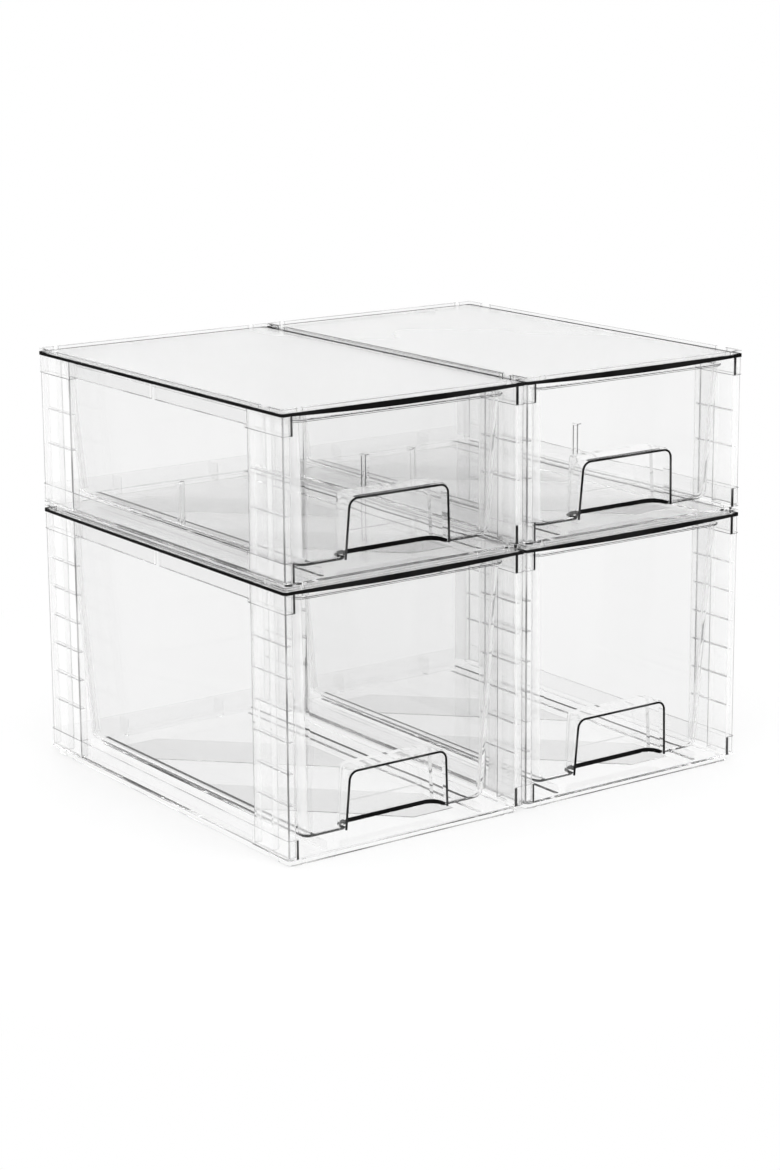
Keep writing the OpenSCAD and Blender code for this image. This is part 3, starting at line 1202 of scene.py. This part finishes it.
class LadderTree(PieceTree):
    """Geometry Nodes tree that extrudes a channel and sets level ribs up its height."""

    name = "ladder_post"
    sizes = {"Foot": 0.007, "Height": 0.2, "Rib Thickness": 0.0014, "First Rib": 0.16,
             "Pitch": 0.024, "Ribs": 6}
    weld: ClassVar[float] = 1e-6

    def shape(self, tree: Tree, source: Node) -> Socket:
        """Adds the nodes that raise the channel and the ribs and fuse them.

        Args:
            tree: the tree that gets the nodes.
            source: its Group Input node.

        Returns:
            Socket of the post.
        """
        given = source.outputs
        mark = add_node(tree, "GeometryNodeInputNamedAttribute", {"Name": "rib_face"},
                        data_type="BOOLEAN")
        parts = add_node(tree, "GeometryNodeSeparateGeometry", {
            "Geometry": given["Geometry"], "Selection": mark.outputs["Attribute"]},
            domain="FACE")
        rib = self.prism(tree, parts.outputs["Selection"], given["Rib Thickness"])
        channel = self.prism(tree, parts.outputs["Inverted"], given["Height"])
        raised = add_node(tree, "GeometryNodeTransform", {
            "Geometry": channel, "Translation": self.upwards(tree, given["Foot"])})
        down = arithmetic(tree, "MULTIPLY", given["Pitch"], -1.0)
        ladder = add_node(tree, "GeometryNodeMeshLine", {
            "Count": given["Ribs"], "Offset": self.upwards(tree, down),
            "Start Location": self.upwards(tree, given["First Rib"])})
        rungs = add_node(tree, "GeometryNodeInstanceOnPoints", {
            "Points": ladder.outputs["Mesh"], "Instance": rib})
        loose = add_node(tree, "GeometryNodeRealizeInstances", {
            "Geometry": rungs.outputs["Instances"]})
        fuse = add_node(tree, "GeometryNodeMeshBoolean", operation="UNION", solver="EXACT")
        for part in (raised, loose):
            feed(tree, fuse.inputs["Mesh 2"], part.outputs["Geometry"])
        return fuse.outputs["Mesh"]

    @staticmethod
    def upwards(tree: Tree, height: Socket) -> Socket:
        """Socket of a vector straight up, of one height."""
        return add_node(tree, "ShaderNodeCombineXYZ", {"Z": height}).outputs[0]

    def prism(self, tree: Tree, outline: Socket, height: Socket) -> Socket:
        """Raises a flat face to a closed prism.

        Args:
            tree: the tree that gets the nodes.
            outline: socket of the flat face.
            height: socket of the prism's height.

        Returns:
            Socket of the closed prism.
        """
        walls = add_node(tree, "GeometryNodeExtrudeMesh", {
            "Mesh": outline, "Offset": self.upwards(tree, height), "Individual": False},
            mode="FACES")
        floor = add_node(tree, "GeometryNodeFlipFaces", {"Mesh": outline})
        both = add_node(tree, "GeometryNodeJoinGeometry")
        for part in (floor, walls):
            feed(tree, both.inputs["Geometry"], part.outputs["Mesh"])
        return add_node(tree, "GeometryNodeMergeByDistance", {
            "Geometry": both.outputs["Geometry"], "Distance": self.weld}).outputs["Geometry"]


LADDER = LadderTree()


@dataclass
class LadderPost(Moulding):
    """Channel post that opens towards the drawer, with a middle web and level ribs."""

    slot = "clear_post"
    skins = {
        Skin.BODY: POST_WALL, Skin.UPRIGHT: PAINTED_HIGHLIGHT_EDGE, Skin.LEVEL: RIM_SHADE_EDGE,
        Skin.WEB: POST_RIB_PAINTED, Skin.RIB_EDGE: RIB_EDGE, Skin.LIP: RIB_EDGE,
        Skin.OUTER: POST_SHADE_LINE, Skin.CORNER: CORNER_PAINTED_HIGHLIGHT}
    corner: Corner = Corner.FRONT_LEFT
    inset: float = 1.3 * MM
    width: float = 6.8 * MM
    length: float = 47.2 * MM
    wall: float = 1.6 * MM
    rib_t: float = 1.4 * MM
    rib_inset: float = 0.8 * MM
    rib_setback: float = 1.0 * MM
    radius: float = 1.0 * MM
    foot: float = 7 * MM
    lowest_gap: float = 10 * MM
    lip_reach: float = 0.3 * MM
    arc: ClassVar[tuple[float, ...]] = (0, 22.5, 45, 67.5, 90)

    @property
    def part(self) -> str:
        """Last words of the node's name."""
        return f"post_{self.corner.name.lower()}"

    @property
    def rib_heights(self) -> list[float]:
        """Places the ribs evenly, from the top down.

        Returns:
            Their middle heights in the unit's own axes.
        """
        top, pitch = self.place.level.height - SIZES.cap_h, self.place.level.pitch
        count = int((top - SIZES.foot_h - SIZES.base_h - self.lowest_gap) / pitch)
        return [top - (k + 1) * pitch for k in range(count)]

    def rounded(self, middle: Point, turn: float) -> list[Point]:
        """Points of one rounded outer corner of the channel.

        Args:
            middle: middle of the corner's arc.
            turn: angle at which the arc starts, in degrees.

        Returns:
            The arc's points, in order.
        """
        turns = [math.radians(turn + step) for step in self.arc]
        return [(middle[0] + self.radius * math.cos(a), middle[1] + self.radius * math.sin(a))
                for a in turns]

    def outline(self) -> list[Point]:
        """Draws the channel from above, for the front left corner.

        Returns:
            The outline, counter-clockwise.
        """
        x0, y0, r = self.inset, self.inset, self.radius
        x1, y1 = x0 + self.width, y0 + self.length
        mid = y0 + self.length / 2
        back, half = x0 + self.wall, self.rib_t / 2
        points = self.rounded((x0 + r, y0 + r), 180) + self.rounded((x1 - r, y0 + r), 270)
        points += [(x1, y0 + self.wall), (back, y0 + self.wall),
                   (back, mid - half), (x1, mid - half), (x1, mid + half), (back, mid + half),
                   (back, y1 - self.wall), (x1, y1 - self.wall)]
        points += self.rounded((x1 - r, y1 - r), 0) + self.rounded((x0 + r, y1 - r), 90)
        return points

    def rib_outline(self) -> list[Point]:
        """Draws a rib from above, for the front left corner.

        Returns:
            The outline, counter-clockwise.
        """
        x0 = y0 = self.inset + self.rib_inset
        x1 = self.inset + self.width - self.rib_setback
        y1 = self.inset + self.length - self.rib_inset
        return [(x0, y0), (x1, y0), (x1, y1), (x0, y1)]

    def turned(self, points: Sequence[Point]) -> list[Point]:
        """Mirrors an outline to this post's corner and keeps it counter-clockwise.

        Args:
            points: outline for the front left corner, in the unit's own axes.

        Returns:
            The outline at this corner, in the set's axes.
        """
        back, right = self.corner.value
        origin = self.place.origin
        moved = [((SIZES.width - x if right else x) + origin.x,
                  (SIZES.depth - y if back else y) + origin.y) for x, y in points]
        return moved[::-1] if back != right else moved

    def flat_faces(self) -> Mesh:
        """Makes the two flat faces that the tree raises.

        Returns:
            A mesh of the channel's face and the rib's, which is marked.
        """
        mesh = bpy.data.meshes.new(self.name)
        channel, rib = self.turned(self.outline()), self.turned(self.rib_outline())
        corners = [(x, y, 0.0) for x, y in channel + rib]
        faces = [range(len(channel)), range(len(channel), len(corners))]
        mesh.from_pydata(corners, [], [list(f) for f in faces])
        mark = mesh.attributes.new("rib_face", "BOOLEAN", "FACE")
        mark.data[1].value = True
        return mesh

    def skin_of(self, facet: Facet) -> Skin:
        """Parts the ribs, painted as grey and pale lines, and the rounded corners, with a
        painted highlight or a painted grey line, from the channel's walls.

        Args:
            facet: the face.

        Returns:
            The skin.
        """
        half = self.rib_t / 2
        if any(facet.within(middle - half, middle + half) for middle in self.rib_heights):
            return Skin.WEB
        if facet.is_corner:
            return Skin.OUTER if facet.across < self.inset + self.wall else Skin.CORNER
        return Skin.BODY

    def edge_skin_of(self, facet: Facet) -> Skin:
        """Paints shade on the rounded edges of the ribs, of the web and of the channel's lips.

        Args:
            facet: the face of the rounded edge.

        Returns:
            The skin.
        """
        if any(abs(facet.centre.z - middle) < self.rib_t for middle in self.rib_heights):
            return Skin.RIB_EDGE
        skin = super().edge_skin_of(facet)
        if skin is Skin.LEVEL or facet.across < self.inset + self.wall:
            return skin
        if abs(facet.along - self.inset - self.length / 2) < self.rib_t:
            return Skin.RIB_EDGE
        return Skin.LIP if facet.along < self.inset + self.wall + self.lip_reach else skin

    def make(self) -> Piece:
        """Builds the post through the Geometry Nodes tree.

        Returns:
            The finished post.
        """
        lift, ribs = self.place.level.foot, self.rib_heights
        mesh = LADDER.run(self.flat_faces(), {
            "Foot": lift + self.foot,
            "Height": self.place.level.height - SIZES.edge_h - self.foot,
            "Rib Thickness": self.rib_t,
            "First Rib": lift + ribs[0] - self.rib_t / 2,
            "Pitch": self.place.level.pitch,
            "Ribs": len(ribs),
            "Material": self.skins[Skin.BODY].build()})
        mesh.materials.clear()
        clean = clean_copy(mesh)
        bpy.data.meshes.remove(mesh)
        return self.finish(clean)


# ------------------------ Drawer pieces ------------------------

@dataclass
class RecessDrawer(Moulding):
    """Drawer with drafted walls, a turned top edge and a finger recess in its front."""

    part = "drawer"
    slot = "clear_drawer"
    crumb = 0.1 * MM
    skins = {
        Skin.BODY: DRAWER_WALL, Skin.UPRIGHT: PAINTED_HIGHLIGHT_EDGE, Skin.INNER: TUB_EDGE,
        Skin.LIP: PAINTED_SHADE_EDGE, Skin.GUIDE: PAINTED_SHADE_EDGE, Skin.ARCH: ARCH_SHADE_LINE,
        Skin.CORNER: CORNER_PAINTED_HIGHLIGHT, Skin.RECESS_FOOT: PLATE_EDGE,
        Skin.TUB_EDGE: PAINTED_SHADE_EDGE, Skin.SIDE: DRAWER_SIDE_SHADED, Skin.FRONT: DRAWER_FRONT_LIT,
        Skin.RECESS: RECESS_WALL}
    foot_line: float = 3.8 * MM
    floor_t: float = 1 * MM
    tub_line: float = 3 * MM
    tub_reach: float = 40 * MM
    recess_half: float = 48 * MM
    recess_back: float = 36.5 * MM
    guide_half: float = 5 * MM
    front_depth: float = 12 * MM
    margin: float = 5 * MM
    lip_t: float = 4 * MM
    lip_h: float = 3 * MM
    inward: float = 0.5 * MM
    arch_facing: float = 0.7
    guide_facing: float = 0.3

    @property
    def body(self) -> str:
        """Body that the drawer rides on."""
        return self.place.drawer_body

    @property
    def cuts(self) -> list[Cut]:
        """Plane that sets off the dark line at the recess's foot."""
        return [(Z_AXIS, self.place.level.foot + SIZES.drawer_floor + self.foot_line)]

    def in_recess(self, facet: Facet) -> bool:
        """Tells whether a face lies within the reach of the finger recess."""
        return abs(facet.off_middle) < self.recess_half and facet.centre.y < self.recess_back

    def skin_of(self, facet: Facet) -> Skin:
        """Parts the front, painted lighter, the recess with its foot of painted shade, the tub's
        edge of painted shade, the corners with a painted highlight and the sides, painted
        darker.

        Args:
            facet: the face.

        Returns:
            The skin.
        """
        y, normal, floor = facet.centre.y, facet.normal, SIZES.drawer_floor
        upright, recess = abs(normal.z) < STEEP, self.in_recess(facet)
        inside = recess and y > SIZES.drawer_front + self.margin
        if abs(normal.y) > FACING and y < SIZES.drawer_front + self.front_depth:
            return Skin.FRONT
        if inside and upright and facet.high < floor + self.foot_line + SLACK:
            if normal.y < -SLANT or normal.x * facet.off_middle < -self.inward:
                return Skin.RECESS_FOOT
        if normal.y < -SLANT and normal.z < -STEEP and facet.low > floor + SLACK:
            if facet.high < floor + self.tub_line and y < self.tub_reach:
                return Skin.TUB_EDGE
        if recess and upright and normal.y < -self.arch_facing and abs(normal.x) > STEEP:
            return Skin.ARCH
        if inside:
            return Skin.RECESS if facet.low > floor + self.floor_t else Skin.BODY
        if facet.is_corner:
            return Skin.CORNER
        return Skin.SIDE if abs(normal.x) > FACING else Skin.BODY

    def edge_skin_of(self, facet: Facet) -> Skin:
        """Paints shade on the front's top edge and the guides, a painted highlight on the
        upright edges, and keeps the edges inside the drawer pale.

        Args:
            facet: the face of the rounded edge.

        Returns:
            The skin.
        """
        y, z = facet.centre.y, facet.centre.z
        top = self.place.level.height - SIZES.drawer_drop
        if y < SIZES.drawer_front + self.lip_t and z > top - self.lip_h:
            return Skin.LIP
        behind = SIZES.drawer_front + self.front_depth + self.margin
        if behind < y < self.recess_back and z > SIZES.drawer_floor + self.margin:
            return Skin.ARCH if self.in_recess(facet) else Skin.INNER
        at_guide = abs(y - SIZES.depth / 2) < self.guide_half
        if at_guide and facet.normal.y < -self.guide_facing:
            return Skin.GUIDE
        return Skin.UPRIGHT if abs(facet.normal.z) < STEEP else Skin.INNER


class BeadTree(PieceTree):
    """Geometry Nodes tree that runs a round bead along a path."""

    name = "path_bead"
    sizes = {"Radius": 0.0006, "Spacing": 0.002, "Sides": 8}

    def shape(self, tree: Tree, source: Node) -> Socket:
        """Adds the nodes that sweep a ring along the evenly divided path.

        Args:
            tree: the tree that gets the nodes.
            source: its Group Input node.

        Returns:
            Socket of the bead.
        """
        given = source.outputs
        path = add_node(tree, "GeometryNodeMeshToCurve", {"Mesh": given["Geometry"]})
        even = add_node(tree, "GeometryNodeResampleCurve", {
            "Curve": path.outputs["Curve"], "Length": given["Spacing"]}, mode="LENGTH")
        ring = add_node(tree, "GeometryNodeCurvePrimitiveCircle", {
            "Resolution": given["Sides"], "Radius": given["Radius"]})
        tube = add_node(tree, "GeometryNodeCurveToMesh", {
            "Curve": even.outputs["Curve"], "Profile Curve": ring.outputs["Curve"],
            "Fill Caps": True})
        return tube.outputs["Mesh"]


BEAD = BeadTree()


@dataclass
class RecessBead:
    """Rounded bead round the mouth of the finger recess, coloured near black as painted shade
    along the mouth's edge.
    """

    place: Place
    finish: Finish = RECESS_BEAD_SHADE
    radius: float = 0.9 * MM
    mouth_width: float = 94.6 * MM
    top_width: float = 90 * MM
    height: float = 47 * MM
    start: float = 1.5 * MM
    corner: float = 7 * MM
    steps: int = 8
    spacing: float = 2 * MM
    sides: int = 8

    def front_at(self, height: float) -> float:
        """Follows the front's lean.

        Args:
            height: a height in the unit's own axes.

        Returns:
            The drawer front's y there.
        """
        top = self.place.level.height - SIZES.drawer_drop
        share = (top - height) / (top - SIZES.drawer_floor)
        return SIZES.drawer_front + self.place.level.lean * share

    def path(self) -> list[Vector]:
        """Points of the arch on the drawer's front, from left foot to right foot.

        Returns:
            The points in the set's axes.
        """
        low, top = SIZES.drawer_floor + self.start, SIZES.drawer_floor + self.height
        right: list[Point] = [(self.mouth_width / 2, low)]
        cx, cz = self.top_width / 2 - self.corner, top - self.corner
        lean = math.atan2((self.mouth_width - self.top_width) / 2, self.height)
        for k in range(self.steps + 1):
            turn = lean + (math.pi / 2 - lean) * k / self.steps
            right.append((cx + self.corner * math.cos(turn), cz + self.corner * math.sin(turn)))
        left = [(-x, z) for x, z in right]
        return [Vector((SIZES.middle + x, self.front_at(z), z)) + self.place.origin
                for x, z in left + right[::-1]]

    def make(self) -> Piece:
        """Runs the bead along the arch and lets it ride on the drawer.

        Returns:
            The bead.
        """
        points = self.path()
        path = bpy.data.meshes.new(f"{self.place.words}_recess_path")
        path.from_pydata(points, [(i, i + 1) for i in range(len(points) - 1)], [])
        mesh = BEAD.run(path, {"Radius": self.radius, "Spacing": self.spacing,
                               "Sides": self.sides, "Material": self.finish.build()})
        for face in mesh.polygons:
            face.use_smooth = True
        mesh.name = f"{self.place.words}_recess_bead"
        piece = put_in_scene(mesh.name, mesh)
        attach(piece, self.place.drawer_body)
        log.info("%s: %d faces", piece.name, len(mesh.polygons))
        return piece


@dataclass(frozen=True)
class DrawerUnit:
    """One case with its posts and its drawer."""

    place: Place

    def build(self) -> list[Piece]:
        """Builds the unit's pieces, the case first.

        Returns:
            The pieces.
        """
        parts = [TopPanel(self.place), FrontShadeStrip(self.place), BottomPanel(self.place)]
        parts += [LadderPost(self.place, corner) for corner in Corner]
        parts += [RecessDrawer(self.place), RecessBead(self.place)]
        return [part.make() for part in parts]


# ------------------------ Camera, light and floor ------------------------

@dataclass(frozen=True)
class PhotoCamera:
    """Camera at the photograph's place, fitted to the corners of the four cases."""

    location: tuple[float, float, float] = (-1.2443, -1.7478, 0.6810)
    yaw: float = 35.474
    pitch: float = 12.724
    roll: float = -0.402
    lens: float = 82.897
    sensor: float = 36.0
    shift: float = -60 / 1170
    clip: tuple[float, float] = (0.05, 50.0)

    def make(self) -> None:
        """Makes the camera and makes it the scene's own."""
        yaw, pitch, roll = (math.radians(a) for a in (self.yaw, self.pitch, self.roll))
        back = Vector((-math.sin(yaw) * math.cos(pitch), -math.cos(yaw) * math.cos(pitch),
                       math.sin(pitch)))
        side = (-back).cross(Vector((0, 0, 1))).normalized()
        rise = side.cross(-back)
        right = side * math.cos(roll) + rise * math.sin(roll)
        up = rise * math.cos(roll) - side * math.sin(roll)
        data = bpy.data.cameras.new("photo_camera")
        data.lens, data.sensor_width, data.shift_y = self.lens, self.sensor, self.shift
        data.clip_start, data.clip_end = self.clip
        camera = put_in_scene("photo_camera", data)
        pose = Matrix((right, up, back)).transposed().to_4x4()
        pose.translation = Vector(self.location)
        camera.matrix_world = pose
        bpy.context.scene.camera = camera
        log.info("camera at %s", self.location)


@dataclass(frozen=True)
class Studio:
    """White studio: world, one soft lamp and a pale floor that keeps the shadow."""

    ambient: float = 0.86
    ceiling: float = 0.55
    ceiling_span: tuple[float, float] = (0.35, 0.75)
    lamp_power: float = 26.0
    lamp_size: float = 2.0
    lamp_place: tuple[float, float, float] = (-0.6, -0.9, 2.4)
    lamp_target: tuple[float, float, float] = (0.0, 0.0, 0.1)
    floor_reach: float = 6.0
    floor_grey: float = 0.98
    floor_share: float = 0.56
    shade_near: float = 0.30
    shade_far: float = 0.62
    seen_through: float = 0.94
    bounces: int = 40
    matt_bounces: int = 3

    def make_world(self) -> None:
        """Makes a world that is white to look at, with a darker ceiling in reflections."""
        world = bpy.data.worlds.new("white_studio")
        world.use_nodes = True
        tree = world.node_tree
        tree.nodes.clear()
        rays = add_node(tree, "ShaderNodeLightPath")
        way = add_node(tree, "ShaderNodeTexCoord")
        parts = add_node(tree, "ShaderNodeSeparateXYZ", {0: way.outputs["Generated"]})
        fall = eased(tree, parts.outputs["Z"], self.ceiling_span, (1.0, self.ceiling))
        seen = add_node(tree, "ShaderNodeBackground", {"Color": grey(1.0)})
        mirrored = add_node(tree, "ShaderNodeBackground", {"Color": fall})
        plain = add_node(tree, "ShaderNodeBackground",
                         {"Color": grey(1.0), "Strength": self.ambient})
        unseen = mixed(tree, bent_ray(tree, rays), plain, mirrored)
        whole = mixed(tree, rays.outputs["Is Camera Ray"], unseen, seen)
        add_node(tree, "ShaderNodeOutputWorld", {"Surface": whole.outputs[0]})
        bpy.context.scene.world = world

    def make_floor(self) -> None:
        """Makes the pale floor: white to look at, darker only where the object shades it."""
        r = self.floor_reach
        mesh = bpy.data.meshes.new("studio_floor")
        mesh.from_pydata([(-r, -r, 0), (r, -r, 0), (r, r, 0), (-r, r, 0)], [], [(0, 1, 2, 3)])
        floor = put_in_scene("studio_floor", mesh)
        material = bpy.data.materials.new("studio_floor_white")
        material.use_nodes = True
        tree = material.node_tree
        tree.nodes.clear()
        matt = add_node(tree, "ShaderNodeBsdfDiffuse", {"Color": grey(self.floor_grey)})
        white = add_node(tree, "ShaderNodeEmission")
        rays = add_node(tree, "ShaderNodeLightPath")
        place = add_node(tree, "ShaderNodeTexCoord")
        away = add_node(tree, "ShaderNodeVectorMath", {0: place.outputs["Object"]},
                        operation="LENGTH")
        plain = eased(tree, away.outputs["Value"], (self.shade_near, self.shade_far),
                      (self.floor_share, 1.0))
        direct = arithmetic(tree, "MULTIPLY", rays.outputs["Is Camera Ray"], plain)
        through = arithmetic(tree, "MULTIPLY", bent_ray(tree, rays), self.seen_through)
        share = arithmetic(tree, "ADD", direct, through, clamp=True)
        surface = mixed(tree, share, matt, white)
        add_node(tree, "ShaderNodeOutputMaterial", {"Surface": surface.outputs[0]})
        mesh.materials.append(material)

    def make_lamp(self) -> None:
        """Makes one large soft lamp above the front left."""
        data = bpy.data.lights.new("soft_key", "AREA")
        data.energy, data.size = self.lamp_power, self.lamp_size
        lamp = put_in_scene("soft_key", data)
        lamp.location = self.lamp_place
        aim = Vector(self.lamp_target) - lamp.location
        lamp.rotation_euler = aim.to_track_quat("-Z", "Y").to_euler()
        lamp.visible_glossy = False
        lamp.visible_transmission = False

    def build(self) -> None:
        """Builds the studio and sets how often light may pass through the plastic."""
        self.make_world()
        self.make_floor()
        self.make_lamp()
        scene = bpy.context.scene
        scene.view_settings.view_transform = "Standard"
        scene.cycles.max_bounces = self.bounces
        scene.cycles.transmission_bounces = self.bounces
        scene.cycles.glossy_bounces = self.bounces
        scene.cycles.transparent_max_bounces = self.bounces
        scene.cycles.diffuse_bounces = self.matt_bounces
        log.info("studio built")


def main() -> None:
    """Builds the camera, the studio and the four units."""
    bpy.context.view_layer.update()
    PhotoCamera().make()
    Studio().build()
    for level in Level:
        for column in Column:
            place = Place(level, column)
            pieces = DrawerUnit(place).build()
            log.info("%s unit: %d pieces", place.words, len(pieces))


if __name__ == "__main__":
    main()
